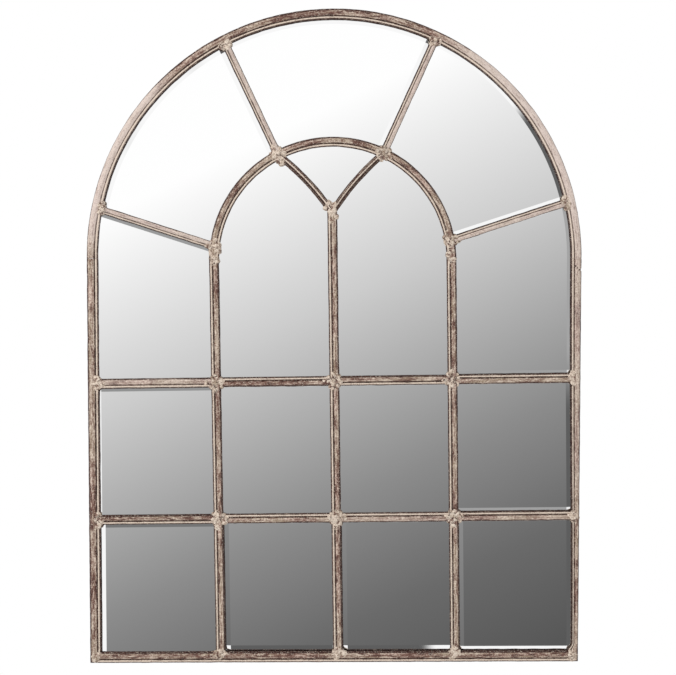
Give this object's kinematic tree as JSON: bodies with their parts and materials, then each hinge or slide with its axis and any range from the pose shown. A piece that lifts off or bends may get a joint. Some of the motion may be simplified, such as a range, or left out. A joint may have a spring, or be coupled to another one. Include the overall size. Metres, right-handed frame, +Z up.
{
  "type": "arched window mirror",
  "caption": "Arched window-style wall mirror: bevelled mirror panes in a welded, distressed iron frame with rails, mullions, spokes and a forked tracery under an inner arch.",
  "frame": {"origin": "on the wall plane, midway between the two points where the wall screws' shanks rest in the keyhole slots", "axes": "+Z up, +Y into the wall, the mirror faces -Y, +X to the viewer's right"},
  "size_m": [0.9, 0.0221, 1.1948],
  "materials": {
    "painted_iron": "cream and taupe paint, rubbed through to red-brown",
    "mirror_glass": "clear silvered glass, bevelled",
    "backing_board": "bare hardboard",
    "steel": "dull zinc"
  },
  "bodies": {
    "root": {"arm_left": "painted_iron", "arm_right": "painted_iron", "backing_board": "backing_board", "foot_rail": "painted_iron", "hanger_left": "steel", "hanger_right": "steel", "inner_arch": "painted_iron", "mullion_centre": "painted_iron", "mullion_left": "painted_iron", "mullion_right": "painted_iron", "outer_arch": "painted_iron", "pane_bottom_1": "mirror_glass", "pane_bottom_2": "mirror_glass", "pane_bottom_3": "mirror_glass", "pane_bottom_4": "mirror_glass", "pane_fan_left": "mirror_glass", "pane_fan_right": "mirror_glass", "pane_fan_top": "mirror_glass", "pane_middle_1": "mirror_glass", "pane_middle_2": "mirror_glass", "pane_middle_3": "mirror_glass", "pane_middle_4": "mirror_glass", "pane_tall_1": "mirror_glass", "pane_tall_2": "mirror_glass", "pane_tall_3": "mirror_glass", "pane_tall_4": "mirror_glass", "pane_tracery": "mirror_glass", "rail_lower_1": "painted_iron", "rail_lower_2": "painted_iron", "rail_lower_3": "painted_iron", "rail_lower_4": "painted_iron", "rail_upper_1": "painted_iron", "rail_upper_2": "painted_iron", "rail_upper_3": "painted_iron", "rail_upper_4": "painted_iron", "spoke_high_left": "painted_iron", "spoke_high_right": "painted_iron", "spoke_low_left": "painted_iron", "spoke_low_right": "painted_iron", "stile_left": "painted_iron", "stile_right": "painted_iron", "tab_arch_1": "steel", "tab_arch_2": "steel", "tab_arch_3": "steel", "tab_foot_1": "steel", "tab_foot_2": "steel", "tab_left_1": "steel", "tab_left_2": "steel", "tab_left_3": "steel", "tab_right_1": "steel", "tab_right_2": "steel", "tab_right_3": "steel"}
  },
  "joints": []
}
